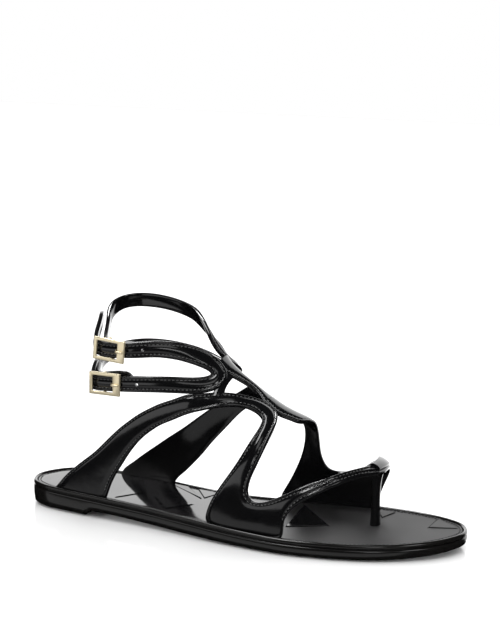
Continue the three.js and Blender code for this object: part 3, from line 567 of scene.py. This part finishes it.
INNER_BAND = [
    (81, -26.8, 99.4, 3, 10, 0), (79, -27.4, 99.2, 7.6, 8, 0), (73, -28.4, 98, 9.4, 4, 0),
    (66, -28.6, 97.8, 9.6, -2, 0), (60.4, -26.6, 98.2, 9.6, -40, 0), (57, -20.5, 99.9, 8.8, -62, 0),
    (52.6, -11, 102.6, 8.4, -65, 0), (48, -1, 105.6, 8.4, -66, 0), (44, 8.5, 111.4, 7.8, -80, 0),
    (46, 17.5, 115, 7.6, -124, 0), (53, 23, 116.4, 7.8, -156, 0), (62, 25.6, 116.4, 8, -174, 0),
    (73, 25.2, 115.6, 7.8, -188, 0), (84, 22.5, 114, 7.6, -204, 0), (93, 18, 112.2, 7.4, -218, 4),
    (100, 12.5, 109.2, 7.6, -232, 10), (105.8, 8, 105.6, 8, -248, 16), (110.6, 5.4, 101, 8.4, -258, 24),
    (114.4, 5.4, 96.2, 9, -258, 34), (117.5, 8, 91.4, 9, -246, 42), (120.5, 12.8, 87, 9, -228, 46),
    (119, 16.6, 84, 9, -214, 40), (114, 19, 83, 9, -204, 28), (107, 21.2, 84.2, 8.6, -197, 14),
    (98, 23.8, 86.6, 8.2, -191, 6), (86, 25.8, 88.8, 8, -186, 0), (72, 26.8, 90, 8, -181, 0),
    (59, 25.8, 90, 8, -168, 0), (48.6, 21, 88.8, 8, -142, 0), (42, 13, 86.4, 8, -112, 0),
    (40.8, 5, 84.2, 8.2, -80, 0), (44.6, -5, 82, 8.4, -66, 0), (49, -14, 80.4, 8.4, -64, 0),
    (53.2, -22.4, 79.4, 8.4, -62, 0), (57.4, -27.4, 79.2, 9.8, -30, 0), (63.5, -28.6, 79.7, 10.8, -2, 0),
    (70, -28.5, 80.9, 10.6, 3, 0), (76, -28.1, 82.1, 8.2, 6, 0), (78, -27.8, 82.6, 3, 8, 0)]
TIP_WIDTH = 6.2  # under this width the seam channels close up


def band_frame(table, per_row):
    """The middle line of a band, its width, and its directions across and outwards."""
    rows = spline(table, per_row)
    middle = rows[:, :3]
    forward = np.gradient(middle, axis=0)
    forward /= np.linalg.norm(forward, axis=1, keepdims=True)
    facing, lean = np.radians(rows[:, 4]), np.radians(rows[:, 5])
    out = np.stack([np.sin(facing) * np.cos(lean), -np.cos(facing) * np.cos(lean), np.sin(lean)], 1)
    out -= forward * (out * forward).sum(1, keepdims=True)
    out /= np.linalg.norm(out, axis=1, keepdims=True)
    return middle, rows[:, 3], np.cross(out, forward), out


def band_places(band, share, lift):
    """Points across an ankle strap, at a share of its width."""
    middle, width, across, out = band
    side = ((share - 0.5) * width[:, None])[..., None]
    rise = (np.asarray(lift) - WALL / 2)[..., None]
    return middle[:, None] + across[:, None] * side + out[:, None] * rise


def ankle_strap(name, table, per_row=6):
    band = band_frame(table, per_row)
    tips = np.minimum(band[1], TIP_WIDTH) / TIP_WIDTH
    shares, lifts = section(band[1] / tips, SEAMED_EDGE)
    return lay_grid(name, band_places(band, shares, lifts))


parts += [ankle_strap("outer_band", OUTER_BAND), ankle_strap("inner_band", INNER_BAND)]
print("ankle straps:", [len(p.data.polygons) for p in parts[-2:]], "faces")

# %% [markdown]
# The toe post is a soft oval peg. It goes down into the footbed and flares into the straps above.

# %% Toe post
POST_SIDES = 36
# Height, middle (x, y) and half sizes (x, y).
POST = [(6.4, 208, 7, 2.8, 4.1), (9, 208, 6.9, 2.7, 3.9), (10.4, 208.1, 6.8, 2.6, 3.8),
        (13, 208.2, 6.6, 2.45, 3.6), (20, 208.4, 6, 2.35, 3.3), (28, 208.8, 5.2, 2.4, 3.4),
        (34, 209.2, 4.6, 2.7, 4), (38.4, 209.8, 4.2, 3.3, 5.2)]
height, middle_x, middle_y, half_x, half_y = spline(POST, 5).T[..., None]
angle = np.linspace(0, 2 * math.pi, POST_SIDES, endpoint=False)
post = np.stack([middle_x + half_x * np.cos(angle), middle_y + half_y * np.sin(angle),
                 height + 0 * angle], -1)
parts.append(lay_grid("post", post))
print("toe post:", len(parts[-1].data.polygons), "faces")

# %% [markdown]
# All of this is one moulding on the real shoe, so the straps are joined into one skin. Then the punched
# holes of the ankle straps are cut, each with a small cylinder.

# %% Join the upper
for part in parts:
    before = len(upper.data.polygons)
    apply_boolean(upper, part, "UNION")
    assert len(upper.data.polygons) > before, "a strap was lost in the join"
    print("joined", len(upper.data.polygons), "faces")
HOLES = [(77.2, -31.7, 98.7), (85.2, -29.1, 99.4), (73.9, -32.5, 79.8), (82.5, -31, 80.3)]
HOLE_RADIUS, HOLE_DEPTH, HOLE_TURN = 0.8, 3.4, 10  # the turn in degrees follows the straps
for hole in HOLES:
    deselect()
    bpy.ops.mesh.primitive_cylinder_add(vertices=20, radius=HOLE_RADIUS * MM, depth=HOLE_DEPTH * MM,
                                        location=np.array(hole) * MM + ORIGIN,
                                        rotation=(math.pi / 2, 0, math.radians(HOLE_TURN)))
    apply_boolean(upper, bpy.context.object, "DIFFERENCE")
smooth_shading(upper, 38)
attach(upper, "root")
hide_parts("upper")
print("upper:", len(upper.data.polygons), "faces")

# %% [markdown]
# ## Seams
# The mould draws a seam as a row of small raised dashes in the channel inside each edge. One dash is
# modelled as a low rounded pellet, and copies of it are set along the edges at an even pitch.

# %% Seam dashes
DASH_PITCH, DASH_SIZE = 2.2, (0.78, 0.3, 0.36)  # half length, half width, half height
DASH_LIFT, LOOK_AHEAD = 2.1, 0.3
LINE_STEPS = 24  # points that a seam's line takes for each row of its strap's table
BORDER_INSET, BORDER_DIP = 4.0, 0.05  # the dashes round the footbed


def dash_shape():
    deselect()
    bpy.ops.mesh.primitive_uv_sphere_add(segments=8, ring_count=5, radius=1)
    pellet = bpy.context.object
    points = np.array([v.co for v in pellet.data.vertices])
    faces = [tuple(p.vertices) for p in pellet.data.polygons]
    bpy.data.objects.remove(pellet)
    return points * DASH_SIZE, faces


def dash_line(middle, out):
    """Places and directions at an even pitch along a dense line."""
    run = np.concatenate([[0], np.cumsum(np.linalg.norm(np.diff(middle, axis=0), axis=1))])
    at = np.arange(DASH_PITCH, run[-1] - DASH_PITCH, DASH_PITCH)
    place = np.stack([np.interp(at, run, middle[:, k]) for k in range(3)], 1)
    ahead = np.stack([np.interp(at + LOOK_AHEAD, run, middle[:, k]) for k in range(3)], 1) - place
    normal = np.stack([np.interp(at, run, out[:, k]) for k in range(3)], 1)
    return place, ahead, normal


def seam_share(width, side):
    return SEAM_INSET / width if side == "from" else 1 - SEAM_INSET / width


def strap_seam(table, side, first, last, raised=0.0):
    """A seam along one edge of a laid strap, between two of its rows."""
    lines = spline(table, LINE_STEPS)[first * LINE_STEPS:last * LINE_STEPS + 1]
    share = seam_share(strap_width(lines), side)
    middle = strap_places(lines, share, DASH_LIFT + raised)[:, 0]
    out = strap_places(lines, share, DASH_LIFT + 1 + raised)[:, 0] - middle
    return dash_line(middle, out)


def band_seam(table, side, first, last):
    """A seam along one edge of an ankle strap, between two of its rows."""
    band = [v[first * LINE_STEPS:last * LINE_STEPS + 1] for v in band_frame(table, LINE_STEPS)]
    share = seam_share(band[1][:, None], side)
    return dash_line(band_places(band, share, np.full_like(share, DASH_LIFT))[:, 0], band[3])


def seam_piece(name, lines):
    """One piece of all the dashes on some lines, each a copy of the pellet turned along its line."""
    shape, shape_faces = dash_shape()
    points, faces = [], []
    for place, ahead, normal in lines:
        for p, f, n in zip(place, ahead, normal):
            f = f / np.linalg.norm(f)
            n = n - f * (n @ f)
            n = n / np.linalg.norm(n)
            turn = np.stack([f, np.cross(n, f), n])
            faces += [tuple(v + len(points) * len(shape) for v in face) for face in shape_faces]
            points.append(shape @ turn + p)
    mesh = bpy.data.meshes.new(name)
    mesh.from_pydata((np.concatenate(points) * MM + ORIGIN).tolist(), [], faces)
    piece = bpy.data.objects.new(name, mesh)
    bpy.context.scene.collection.objects.link(piece)
    smooth_shading(piece, 60)
    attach(piece, "root")
    return piece, len(points)


seams = [strap_seam(OUTER_STRAP, "from", 1, 21), strap_seam(OUTER_STRAP, "from", 22, 47),
         strap_seam(OUTER_STRAP, "to", 1, 29), strap_seam(OUTER_STRAP, "to", 38, 47),
         strap_seam(INNER_STRAP, "from", 1, 38, INNER_RAISED),
         strap_seam(INNER_STRAP, "to", 1, 22, INNER_RAISED),
         strap_seam(INNER_STRAP, "to", 30, 38, INNER_RAISED),
         strap_seam(STEM, "from", 0, 5, STEM_RAISED), strap_seam(STEM, "to", 0, 5, STEM_RAISED),
         band_seam(OUTER_BAND, "from", 1, 27), band_seam(OUTER_BAND, "to", 1, 27),
         band_seam(INNER_BAND, "from", 1, 37), band_seam(INNER_BAND, "to", 1, 37)]
upper_seams, count = seam_piece("upper_seams", seams)
border = ring(BORDER_INSET, lambda x: bed_top(x) - BORDER_DIP)
border = np.concatenate([border, border[:1]])
upwards = np.tile([0.0, 0.0, 1.0], (len(border), 1))
bed_seam, bed_count = seam_piece("bed_seam", [dash_line(border, upwards)])
print("seams:", count, "dashes on the straps and", bed_count, "round the footbed")

# %% [markdown]
# ## Buckles
# Each buckle is a small cast frame: a wide front bar that the prong rests on, three slim sides, and a
# centre bar behind the strap, held by a lug at each end. The frame is a block with a window cut through
# it, its edges rounded. The prong is a thin tongue that hooks round the centre bar and comes out over the
# front bar. One function makes each of them, and it is called for both seats.

# %% Buckle sizes
FRAME_LENGTH, FRAME_HEIGHT, FRAME_DEPTH, FRAME_OUT = 19.0, 12.6, 1.6, -34.3
FRONT_BAR, RAIL = 4.4, 1.9
LUG, PIN, PIN_X, PIN_Y = 1.4, 1.2, -2.0, -30.6
PIN_SHORT, LUG_OVERLAP = 0.2, 0.6  # how far the pin stops short of the edge, and the lug's root in the frame
WINDOW_CUT = 3.0  # the window's cutter stands this far out on both sides
FRAME_ROUND, PIN_ROUND, LUG_ROUND = 0.5, 0.4, 0.25
SEATS = {"upper": (67.2, 98.6, -5.0), "lower": (64.4, 79.5, -0.5)}  # x, height and tilt in degrees


def seat_matrix(seat):
    x, z, tilt = SEATS[seat]
    place = (np.array([x, 0, z]) * MM + ORIGIN).tolist()
    return Matrix.Translation(place) @ Matrix.Rotation(math.radians(-tilt), 4, "Y")


def block(x, y, z):
    """A box between two corners, in millimetres round a seat."""
    deselect()
    bpy.ops.mesh.primitive_cube_add(size=1)
    box = bpy.context.object
    size = [(b - a) * MM for a, b in (x, y, z)]
    middle = [(a + b) / 2 * MM for a, b in (x, y, z)]
    box.data.transform(Matrix.Translation(middle) @ Matrix.Diagonal((*size, 1)))
    return box


def buckle_frame(seat):
    half_l, half_h = FRAME_LENGTH / 2, FRAME_HEIGHT / 2
    plate = block((-half_l, half_l), (FRAME_OUT - FRAME_DEPTH, FRAME_OUT), (-half_h, half_h))
    plate.name = plate.data.name = "buckle_frame_" + seat
    window = block((-half_l + RAIL, half_l - FRONT_BAR), (FRAME_OUT - WINDOW_CUT, FRAME_OUT + WINDOW_CUT),
                   (-half_h + RAIL, half_h - RAIL))
    apply_boolean(plate, window, "DIFFERENCE")
    round_edges(plate, FRAME_ROUND, 4)
    reach = half_h - PIN_SHORT
    pin_x = (PIN_X - PIN / 2, PIN_X + PIN / 2)
    pin = block(pin_x, (PIN_Y - PIN / 2, PIN_Y + PIN / 2), (-reach, reach))
    round_edges(pin, PIN_ROUND, 3)
    apply_boolean(plate, pin, "UNION")
    for low, high in ((-reach, -half_h + LUG), (half_h - LUG, reach)):
        lug = block(pin_x, (FRAME_OUT - LUG_OVERLAP, PIN_Y + PIN / 2), (low, high))
        round_edges(lug, LUG_ROUND, 2)
        apply_boolean(plate, lug, "UNION")
    plate.data.transform(seat_matrix(seat))
    smooth_shading(plate, 35)
    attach(plate, "root")
    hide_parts("buckle_frame_" + seat)
    return plate


PRONG_SIDES = 16
REST = FRAME_OUT - FRAME_DEPTH - 0.9  # the prong's middle line where it lies on the front bar
# x, y, half thickness and half width along the prong, from its hook to its tip.
PRONG = [(PIN_X + 1.0, PIN_Y + 1.45, 0.5, 0.8), (PIN_X - 0.9, PIN_Y + 1.4, 0.5, 0.8),
         (PIN_X - 1.5, PIN_Y, 0.5, 0.8), (PIN_X - 0.9, PIN_Y - 1.35, 0.5, 0.8),
         (PIN_X + 1.4, PIN_Y - 1.45, 0.5, 0.8),
         (1.6, PIN_Y - 1.6, 0.5, 0.8), (3.6, PIN_Y - 3.2, 0.5, 0.8), (4.9, REST, 0.52, 0.8),
         (7.2, REST - 0.1, 0.52, 0.72), (8.9, REST, 0.45, 0.6)]


def buckle_prong(seat):
    rows = spline(PRONG, 5)
    forward = np.gradient(rows[:, :2], axis=0)
    forward /= np.linalg.norm(forward, axis=1, keepdims=True)
    aside = np.stack([-forward[:, 1], forward[:, 0]], 1)
    angle = np.linspace(0, 2 * math.pi, PRONG_SIDES, endpoint=False)
    plan = rows[:, None, :2] + aside[:, None] * (rows[:, 2:3] * np.cos(angle))[..., None]
    places = np.concatenate([plan, (rows[:, 3:4] * np.sin(angle))[..., None]], -1)
    prong = lay_grid("buckle_prong_" + seat, places)
    prong.data.transform(seat_matrix(seat) @ Matrix.Translation((-ORIGIN).tolist()))
    smooth_shading(prong, 50)
    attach(prong, "root")
    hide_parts("buckle_prong_" + seat)
    return prong


metal = [make(seat) for seat in SEATS for make in (buckle_frame, buckle_prong)]
print("buckles:", [len(piece.data.polygons) for piece in metal], "faces")

# %% [markdown]
# ## Finishes
# Shader maths reads best as plain sums. The small class below wraps one socket, so that an expression on
# it adds the Math nodes, and one method makes any other node from its settings and inputs. An input is
# given by its name, or as i0, i1 and so on by its number where several share a name.

# %% Sockets that can be added up


class Socket:
    def __init__(self, tree, socket=None):
        self.tree, self.socket = tree, socket

    def node(self, kind, settings=None, output=0, **inputs):
        made = self.tree.nodes.new(kind)
        for key, value in (settings or {}).items():
            setattr(made, key, value)
        for key, value in inputs.items():
            place = made.inputs[int(key[1:])] if key[1:].isdigit() else made.inputs[key.replace("_", " ")]
            if isinstance(value, Socket):
                self.tree.links.new(value.socket, place)
            else:
                place.default_value = value
        return Socket(self.tree, made.outputs[output])

    def _math(self, operation, first, second):
        return self.node("ShaderNodeMath", {"operation": operation}, i0=first, i1=second)

    def __add__(self, other):
        return self._math("ADD", self, other)

    __radd__ = __add__

    def __sub__(self, other):
        return self._math("SUBTRACT", self, other)

    def __rsub__(self, other):
        return self._math("SUBTRACT", other, self)

    def __mul__(self, other):
        return self._math("MULTIPLY", self, other)

    __rmul__ = __mul__


BROAD_SCALE = 28.0  # the broad patches are about 35 mm across
BROAD_PART, FINE_PART = 0.6, 0.4  # how the two noises share the unevenness of the gloss
EVEN_PART, GRAIN_PART = 0.86, 0.28  # how a change along the piece is broken up by the grain


def finish(name, dark, pale, roughness, variation, grain, depth, swell=0.0, along=None, **fixed):
    """A moulded or cast finish: two close tints, uneven gloss, a fine grain and a broad swell in its skin.

    The grain's depth and the swell are heights in millimetres.
    With along = (from x, to x, dull roughness) it goes from the dark glossy tint to the pale dull one; the
    pale tint there is a painted sheen.
    """
    material = bpy.data.materials.new(name)
    material.use_nodes = True
    tree = material.node_tree
    shader = tree.nodes["Principled BSDF"]
    base = Socket(tree)
    place = base.node("ShaderNodeTexCoord", output=3)
    broad = base.node("ShaderNodeTexNoise", Vector=place, Scale=BROAD_SCALE, Detail=3.0)
    fine = base.node("ShaderNodeTexNoise", Vector=place, Scale=grain, Detail=4.0, Roughness=0.6)
    mix, gloss = broad, roughness + variation * (broad * BROAD_PART + fine * FINE_PART - 0.5)
    if along:
        x = base.node("ShaderNodeSeparateXYZ", Vector=place)
        share = base.node("ShaderNodeMapRange", Value=x, From_Min=along[0], From_Max=along[1])
        mix = share * (EVEN_PART + GRAIN_PART * fine)
        gloss = gloss + share * (along[2] - roughness)
    tint = base.node("ShaderNodeMix", {"data_type": "RGBA"}, output=2, Factor=mix, i6=dark, i7=pale)
    bump = base.node("ShaderNodeBump", Strength=1.0, Distance=MM, Height=broad * swell + fine * depth)
    tree.links.new(tint.socket, shader.inputs["Base Color"])
    tree.links.new(gloss.socket, shader.inputs["Roughness"])
    tree.links.new(bump.socket, shader.inputs["Normal"])
    for key, value in fixed.items():
        shader.inputs[key.replace("_", " ")].default_value = value
    return material


def dress(piece, material):
    piece.data.materials.clear()
    piece.data.materials.append(material)


print("finish helpers are ready")

# %% [markdown]
# The straps and the sole are one glossy black rubber-like plastic. It is nearly black all through, so
# what shows is its clear skin: sharp lights with slightly uneven edges. The seams' dashes are painted a
# paler grey, a painted highlight for the light that they catch. The footbed is glossy under the heel and
# turns satin towards the toe, where its tint is painted paler as a painted sheen, with one facet polished,
# and the buckles are pale gold plate, polished but for a faint haze.

# %% Finishes of this sandal
gloss_black = finish("gloss_black", (0.0025, 0.0025, 0.0028, 1), (0.005, 0.005, 0.0055, 1),
                     roughness=0.13, variation=0.08, grain=240.0, depth=0.02, swell=0.35)
# The paler grey of the seams' dashes is a painted highlight, for the light that the raised dashes catch.
seam_painted_highlight = finish("seam_painted_highlight", (0.035, 0.035, 0.036, 1), (0.1, 0.1, 0.1, 1),
                    roughness=0.28, variation=0.12, grain=900.0, depth=0.01)
sole_black = finish("sole_black", (0.004, 0.004, 0.004, 1), (0.008, 0.0075, 0.007, 1),
                    roughness=0.16, variation=0.12, grain=300.0, depth=0.02, swell=0.1)
# The paler tint towards the toe is a painted sheen; the rougher, satin toe is the real finish.
satin_black_painted_sheen = finish("satin_black_painted_sheen", (0.006, 0.006, 0.0065, 1), (0.017, 0.0165, 0.0172, 1),
                     roughness=0.07, variation=0.05, grain=1100.0, depth=0.006, along=(-0.02, 0.075, 0.55))
mirror_black = finish("mirror_black", (0.003, 0.003, 0.0032, 1), (0.006, 0.006, 0.0065, 1),
                      roughness=0.08, variation=0.05, grain=1100.0, depth=0.006)
pale_gold = finish("pale_gold", (0.64, 0.55, 0.37, 1), (0.76, 0.67, 0.47, 1),
                   roughness=0.24, variation=0.16, grain=1600.0, depth=0.008, Metallic=0.7)
for piece, material in ((sole, sole_black), (footbed, satin_black_painted_sheen), (upper, gloss_black),
                        (upper_seams, seam_painted_highlight), (bed_seam, gloss_black)):
    dress(piece, material)
for piece in metal:
    dress(piece, pale_gold)


def facet_faces(piece, corners):
    """The upward faces of a piece that lie inside a facet's corners in plan."""
    plan = np.array(corners, float)[:, :2]
    for face in piece.data.polygons:
        x, y = (np.array(face.center) - ORIGIN)[:2] / MM
        sides = [(b[0] - a[0]) * (y - a[1]) - (b[1] - a[1]) * (x - a[0])
                 for a, b in zip(plan, np.roll(plan, -1, 0))]
        if face.normal.z > 0.8 and (min(sides) > 0 or max(sides) < 0):
            yield face


footbed.data.materials.append(mirror_black)
polished = list(facet_faces(footbed, FACETS[POLISHED_FACET]))
for face in polished:
    face.material_index = 1
print("polished facet:", len(polished), "faces")
finishes = (gloss_black, seam_painted_highlight, sole_black, satin_black_painted_sheen, mirror_black, pale_gold)
print("finishes:", [material.name for material in finishes])

# %% [markdown]
# ## Studio
# A broad soft light from above fills a pale floor. Black gloss shows only what it mirrors, so a few
# panels stand where the straps, the bead, the sole and the footbed reflect them. All but the top light
# are seen in reflections only, and the top light, the floor and the world are not seen in them.

# %% Floor and lights
FLOOR_SIZE, FLOOR_GAP = 5.0, 0.4  # metres, and millimetres under the tread
FLOOR_WHITE, FLOOR_ROUGHNESS = 0.95, 0.1
deselect()
bpy.ops.mesh.primitive_plane_add(size=FLOOR_SIZE, location=(0, 0, -FLOOR_GAP * MM))
floor = bpy.context.object
floor.name = "floor"
floor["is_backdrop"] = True
floor_skin = bpy.data.materials.new("pale_floor")
floor_skin.use_nodes = True
skin = floor_skin.node_tree.nodes["Principled BSDF"]
skin.inputs["Base Color"].default_value = (FLOOR_WHITE, FLOOR_WHITE, FLOOR_WHITE, 1)
skin.inputs["Roughness"].default_value = FLOOR_ROUGHNESS
dress(floor, floor_skin)
floor.visible_glossy = False


def panel(name, place, target, size, power, diffuse=False, glossy=True):
    """A soft rectangular light aimed at a point; sizes in metres, power in watts."""
    light = bpy.data.lights.new(name, "AREA")
    light.shape, light.size, light.size_y, light.energy = "RECTANGLE", size[0], size[1], power
    lamp = bpy.data.objects.new(name, light)
    bpy.context.scene.collection.objects.link(lamp)
    lamp.location = place
    lamp.rotation_euler = (Vector(target) - Vector(place)).to_track_quat("-Z", "Y").to_euler()
    lamp.visible_camera, lamp.visible_diffuse, lamp.visible_glossy = False, diffuse, glossy


panel("top_light", (0.1, 0.1, 2.2), (0, 0, 0), (3.0, 3.0), 40, diffuse=True, glossy=False)
panel("backdrop", (-1.0, 2.6, 0.5), (-1.0, 0, 0.5), (5.0, 3.0), 88)
panel("over_strip", (-0.5, -0.2, 1.2), (0, 0, 0.05), (1.2, 0.3), 10)
panel("front_card", (0.62, -1.1, 0.42), (0.05, 0, 0.03), (0.3, 0.25), 0.9)
panel("low_front", (-0.27, -0.2, 0.09), (-0.27, 0, 0.09), (0.46, 0.1), 0.17)
panel("under_edge", (-0.4, -0.8, -0.66), (-0.4, 0, -0.66), (3.0, 0.8), 4.1)
panel("toe_card", (1.0, -0.65, 0.48), (0.07, 0, 0.03), (0.25, 0.35), 1.6)
panel("toe_sheen", (0.4, -0.85, 1.1), (0.08, 0, 0.03), (0.5, 0.5), 1.3)
panel("bead_light", (-0.49, 0.4, 1.2), (0.1, 0, 0), (0.12, 0.3), 4.5)
world = bpy.data.worlds.new("studio")
bpy.context.scene.world = world
world.use_nodes = True
world.node_tree.nodes["Background"].inputs["Color"].default_value = (1, 1, 1, 1)
world.node_tree.nodes["Background"].inputs["Strength"].default_value = 1.0
world.cycles_visibility.glossy = False
bpy.context.scene.view_settings.view_transform = "Standard"

# %% Sizes and finish
visual_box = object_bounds()
for label, corners in (("CAD box", cad_box), ("visual box", visual_box)):
    print(label, [[round(v, 4) for v in corner] for corner in corners])
